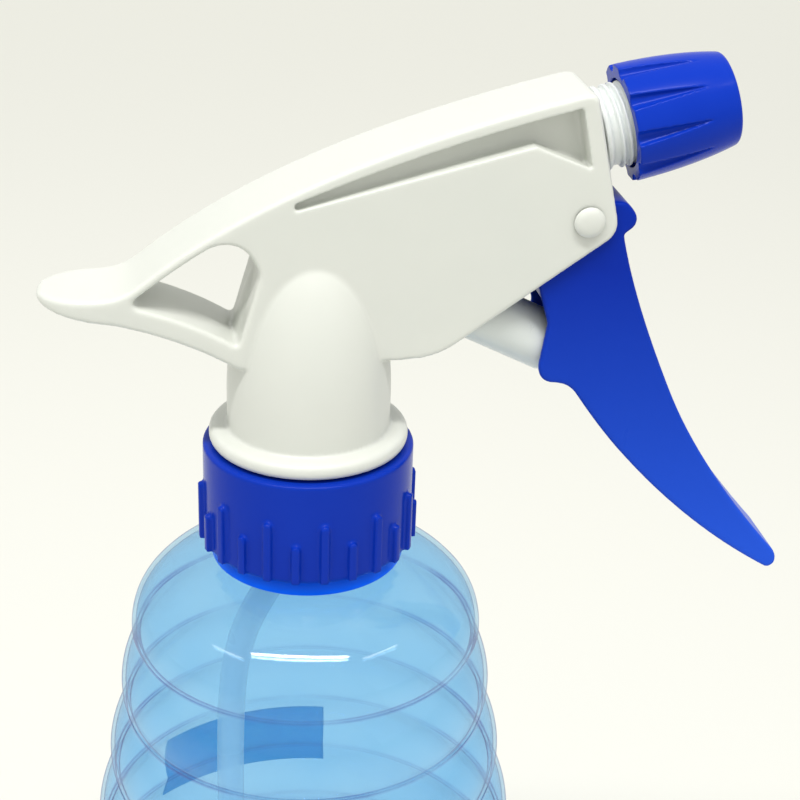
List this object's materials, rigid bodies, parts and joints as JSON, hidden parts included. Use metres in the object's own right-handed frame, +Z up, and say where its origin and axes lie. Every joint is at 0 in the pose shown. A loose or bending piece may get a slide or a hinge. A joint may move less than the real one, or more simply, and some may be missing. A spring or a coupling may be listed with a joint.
{
  "type": "trigger spray bottle",
  "caption": "Ribbed clear blue bottle with a white trigger pump head, blue screw collar, blue trigger and a blue adjustable nozzle.",
  "frame": {"origin": "centre of the bottle's base, on the bottle's axis", "axes": "+Z up along the bottle's axis, +X towards the nozzle, the head symmetric about the XZ plane"},
  "size_m": [0.114, 0.077, 0.2139],
  "materials": {
    "white_plastic": "warm white polypropylene, satin",
    "blue_plastic": "royal blue polypropylene, satin gloss",
    "natural_plastic": "uncoloured translucent polypropylene",
    "bottle_plastic": "clear pale blue PET, polished",
    "label": "plain blue sticker",
    "steel": "stainless steel, polished",
    "seal_rubber": "black nitrile rubber",
    "gasket_foam": "white expanded polyethylene"
  },
  "bodies": {
    "bottle": {"bottle": "bottle_plastic", "rear_label": "label"},
    "head": {"housing": "white_plastic", "tube_holder": "natural_plastic", "holder_ring": "seal_rubber", "neck_gasket": "gasket_foam", "dip_tube": "natural_plastic", "pivot_pin": "white_plastic", "nozzle_stem": "natural_plastic", "swirl_core": "natural_plastic", "piston_spring": "steel", "outlet_spring": "steel"},
    "collar": {"collar": "blue_plastic"},
    "trigger": {"trigger": "blue_plastic"},
    "piston": {"piston": "natural_plastic", "piston_ring": "seal_rubber"},
    "inlet_ball": {"inlet_ball": "steel"},
    "outlet_ball": {"outlet_ball": "steel"},
    "nozzle_seal": {"nozzle_seal": "seal_rubber"},
    "nozzle_cap": {"nozzle_cap": "blue_plastic"}
  },
  "joints": [
    {"name": "head_lift", "type": "slide", "parent": "bottle", "child": "head", "axis": [0, 0, 1], "range_m": [0, 0.00635]},
    {"name": "collar_turn", "type": "hinge", "parent": "head", "child": "collar", "pos_m": [0, 0, 0.146], "axis": [0, 0, 1], "range_deg": [0, 540]},
    {"name": "trigger_squeeze", "type": "hinge", "parent": "head", "child": "trigger", "pos_m": [0.0388, 0, 0.1917], "axis": [0, 1, 0], "range_deg": [0, 25], "stiffness_Nm_per_rad": 0.28, "springref_deg": -13.18},
    {"name": "piston_stroke", "type": "slide", "parent": "head", "child": "piston", "axis": [-0.8988, 0, 0.4384], "range_m": [0, 0.0094], "deforming": ["piston_spring"]},
    {"name": "inlet_ball_lift", "type": "slide", "parent": "head", "child": "inlet_ball", "axis": [0, 0, 1], "range_m": [0, 0.0015]},
    {"name": "outlet_ball_lift", "type": "slide", "parent": "head", "child": "outlet_ball", "axis": [0.9744, 0, 0.225], "range_m": [0, 0.0012], "stiffness_N_per_m": 60, "springref_m": -0.003, "deforming": ["outlet_spring"]},
    {"name": "nozzle_travel", "type": "slide", "parent": "head", "child": "nozzle_seal", "axis": [0.9744, 0, 0.225], "range_m": [-0.00221, 0.00276]},
    {"name": "nozzle_turn", "type": "hinge", "parent": "nozzle_seal", "child": "nozzle_cap", "pos_m": [0.0405, 0, 0.203], "axis": [0.9744, 0, 0.225], "range_deg": [-720, 900]}
  ],
  "couplings": [
    {"joint": "collar_turn", "follows": "head_lift", "rad_per_m": 1484.2},
    {"joint": "piston_stroke", "follows": "trigger_squeeze", "m_per_rad": 0.02145},
    {"joint": "nozzle_travel", "follows": "nozzle_turn", "m_per_rad": 0.00017507}
  ]
}
